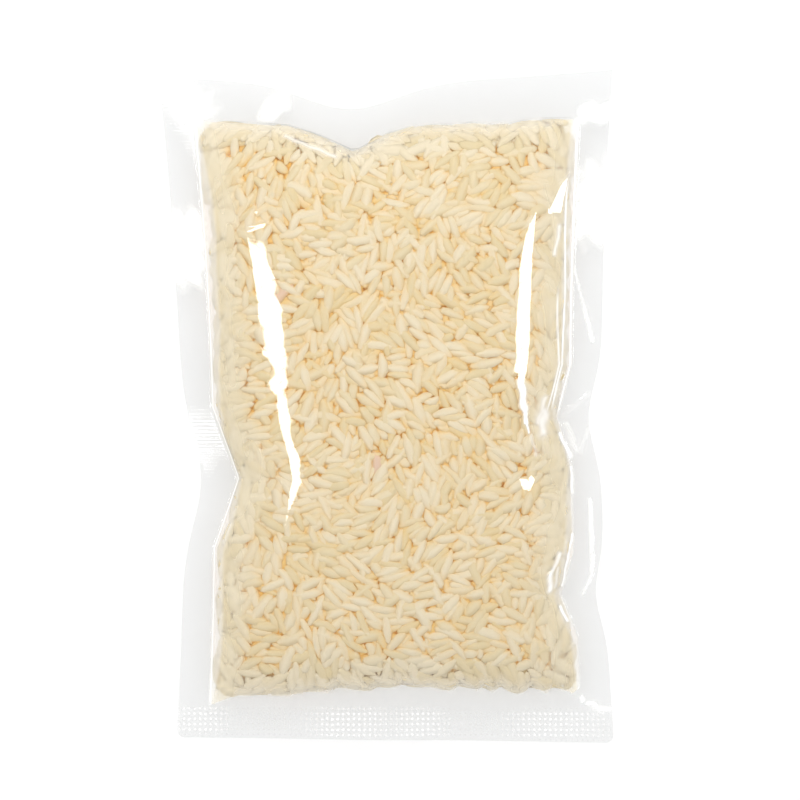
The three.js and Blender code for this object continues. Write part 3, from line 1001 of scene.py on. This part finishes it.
draw = np.random.default_rng(grain["seed"])
chart = Chart(1.0)
layers = packingLayers(chart)
ends, length = packGrains(draw, chart, layers)
print("packed", grain["count"], "grains")

rice = riceMaterial()
newPiece("rice_grains", grainMesh(draw, ends, length, chart, layers), rice)
newPiece("rice_core", coreMesh(), rice)
clearFilm = filmMaterial()
filmSheet("film_upper", 1, ends, length, clearFilm)
filmSheet("film_lower", -1, ends, length, clearFilm)


# A white table top, matt. Light from within keeps the bag's shadow and the welds pale.
table = {"half": 3, "colour": "#B8B8B8", "roughness": 0.9, "glow": 0.52}


def makeFloor():
    bm = bmesh.new()
    bmesh.ops.create_grid(bm, x_segments=1, y_segments=1, size=table["half"])
    mesh = meshFrom(bm, "floor")
    material, tree = newMaterial("white_table")
    shader = addNode(tree, "BsdfPrincipled", None, {
        "Base Color": hexColour(table["colour"]), "Roughness": table["roughness"],
        "Emission Color": (1, 1, 1, 1), "Emission Strength": table["glow"]})
    addNode(tree, "OutputMaterial", None, {"Surface": shader.outputs[0]})
    newSurface("floor", mesh, material)


# The camera looks straight down, with the bag where the photo has it.
camera = {
    "height": 1200.0, "sensor": 36.0, "pixels": 800, "mmPerPixel": 0.2637, "bagX": 385.5, "bagY": 406.0,
}


def makeCamera():
    data = bpy.data.cameras.new("camera")
    piece = newObject("camera", data)
    bpy.context.scene.camera = piece
    centre = camera["pixels"] / 2
    right, up = centre - camera["bagX"], camera["bagY"] - centre
    scale = camera["mmPerPixel"]
    piece.location = Vector((right * scale, up * scale, camera["height"])) * mm
    data.sensor_width = camera["sensor"]
    data.lens = camera["sensor"] * (camera["height"] - pouch["sealHeight"]) / (camera["pixels"] * scale)
    data.clip_start, data.clip_end = 0.05, 10


# A white tent of light, brighter round the sides than overhead, a soft lamp by the
# bag's top end, and a masked box lamp on each side that draws a streak on the film.
studio = {
    "zenith": 0.77, "horizon": 0.97,
    "fill": {"at": (0, 260, 300), "aim": (0, 40, 0), "size": (300, 200), "power": 0.5},
    "boxes": [
        {"name": "box_left", "middle": (-500, 50, 890), "size": (440, 270), "power": 5.0, "openings": [
            [(-690, 110), (-590, 22), (-322, -22), (-480, 98)],
            [(-437, 0), (-428, -82), (-395, -82), (-345, -32), (-322, -15)]]},
        {"name": "box_right", "middle": (680, 70, 890), "size": (380, 290), "power": 4.5, "openings": [
            [(762, 190), (734, 190), (648, 171), (560, 100), (553, 64), (600, 45), (740, 45),
             (745, 100)],
            [(600, 60), (660, 12), (745, 12), (750, 60)]]},
    ],
}


def newLamp(name, at, size, power):
    data = bpy.data.lights.new(name, "AREA")
    piece = newObject(name, data)
    piece.location = Vector(at) * mm
    data.shape = "RECTANGLE"
    data.size, data.size_y = size[0] * mm, size[1] * mm
    data.energy = power
    return piece


# A box lamp behind a mask: only the openings cut in the mask are lit. An opening is
# given by its corners over the bag, anticlockwise as seen from above.
def maskedLamp(box):
    piece = newLamp(box["name"], box["middle"], box["size"], box["power"])
    piece.data.use_nodes = True
    tree = piece.data.node_tree
    tree.nodes.clear()
    wide, high = box["size"]
    middleX, middleY, _ = box["middle"]
    share = addNode(tree, "NewGeometry")
    place = addNode(tree, "VectorMath", {"operation": "MULTIPLY_ADD"}, {
        0: share.outputs["Parametric"], 1: (wide, high, 0),
        2: (middleX - wide / 2, middleY - high / 2, 1)})
    lit = -1.0
    for corners in box["openings"]:
        within = 1.0
        for (x, y), (nextX, nextY) in zip(corners, corners[1:] + corners[:1]):
            inwards = (y - nextY, nextX - x, x * (nextY - y) - y * (nextX - x))
            side = addNode(tree, "VectorMath", {"operation": "DOT_PRODUCT"}, {
                0: place.outputs[0], 1: inwards})
            within = addNode(tree, "Math", {"operation": "MINIMUM"}, {
                0: within, 1: side.outputs["Value"]}).outputs[0]
        lit = addNode(tree, "Math", {"operation": "MAXIMUM"}, {0: lit, 1: within}).outputs[0]
    isLit = addNode(tree, "Math", {"operation": "GREATER_THAN"}, {0: lit, 1: 0.0})
    glow = addNode(tree, "Emission", None, {"Strength": isLit.outputs[0]})
    addNode(tree, "OutputLight", None, {"Surface": glow.outputs[0]})


def makeLight():
    world = bpy.data.worlds.new("studio")
    bpy.context.scene.world = world
    world.use_nodes = True
    tree = world.node_tree
    tree.nodes.clear()
    way = addNode(tree, "TexCoord")
    parts = addNode(tree, "SeparateXYZ", None, {0: way.outputs["Generated"]})
    height = addNode(tree, "MapRange", None, {
        "Value": parts.outputs["Z"], "To Min": studio["horizon"], "To Max": studio["zenith"]})
    sky = addNode(tree, "Background", None, {"Color": (1, 1, 1, 1), "Strength": height.outputs[0]})
    addNode(tree, "OutputWorld", None, {"Surface": sky.outputs[0]})
    fill = studio["fill"]
    piece = newLamp("soft_fill", fill["at"], fill["size"], fill["power"])
    piece.rotation_euler = (Vector(fill["aim"]) - Vector(fill["at"])).to_track_quat("-Z", "Y").to_euler()
    piece.visible_glossy = False
    for box in studio["boxes"]:
        maskedLamp(box)


makeFloor()
makeCamera()
makeLight()
bpy.context.scene.view_settings.view_transform = "Standard"
print("lit the scene")
